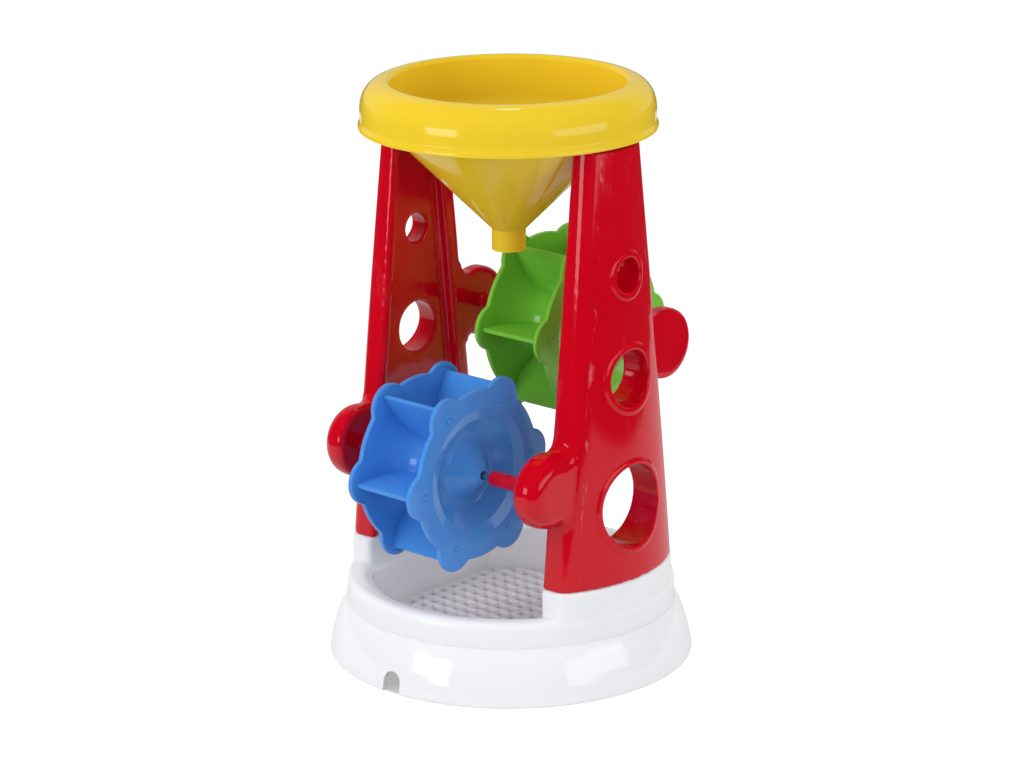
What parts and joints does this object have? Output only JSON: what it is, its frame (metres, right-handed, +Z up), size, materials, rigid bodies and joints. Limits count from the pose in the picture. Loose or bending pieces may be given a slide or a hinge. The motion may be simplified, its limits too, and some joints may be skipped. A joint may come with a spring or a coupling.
{
  "type": "sand wheel toy",
  "caption": "Sand wheel toy: a round funnel on two tapering columns drops sand over two bucket wheels on steel axles into a round base with a sieve floor.",
  "frame": {"origin": "centre of the round base on the ground it stands on", "axes": "+Z up, X along the two axles, -Y toward the lower front wheel"},
  "size_m": [0.19, 0.1947, 0.302],
  "materials": {
    "white_plastic": "glossy white moulded plastic",
    "red_plastic": "glossy red moulded plastic",
    "yellow_plastic": "glossy yellow moulded plastic",
    "blue_plastic": "semi-gloss blue moulded plastic",
    "green_plastic": "semi-gloss green moulded plastic",
    "axle_steel": "bright drawn steel rod",
    "screw_steel": "plated steel"
  },
  "bodies": {
    "stand": {"base": "white_plastic", "sieve_floor": "white_plastic", "left_column_frame": "red_plastic", "left_column_cover": "red_plastic", "right_column_frame": "red_plastic", "right_column_cover": "red_plastic", "column_screws": "screw_steel", "funnel": "yellow_plastic", "front_axle": "axle_steel", "back_axle": "axle_steel", "front_left_sleeve": "red_plastic", "front_right_sleeve": "red_plastic", "back_left_sleeve": "red_plastic", "back_right_sleeve": "red_plastic"},
    "blue_wheel": {"blue_wheel_body": "blue_plastic", "blue_wheel_cap": "blue_plastic"},
    "green_wheel": {"green_wheel_body": "green_plastic", "green_wheel_cap": "green_plastic"}
  },
  "joints": [
    {"name": "blue_wheel_spin", "type": "hinge", "parent": "stand", "child": "blue_wheel", "pos_m": [0, -0.046, 0.1085], "axis": [1, 0, 0], "continuous": true},
    {"name": "green_wheel_spin", "type": "hinge", "parent": "stand", "child": "green_wheel", "pos_m": [0, 0.046, 0.16602], "axis": [1, 0, 0], "continuous": true}
  ]
}
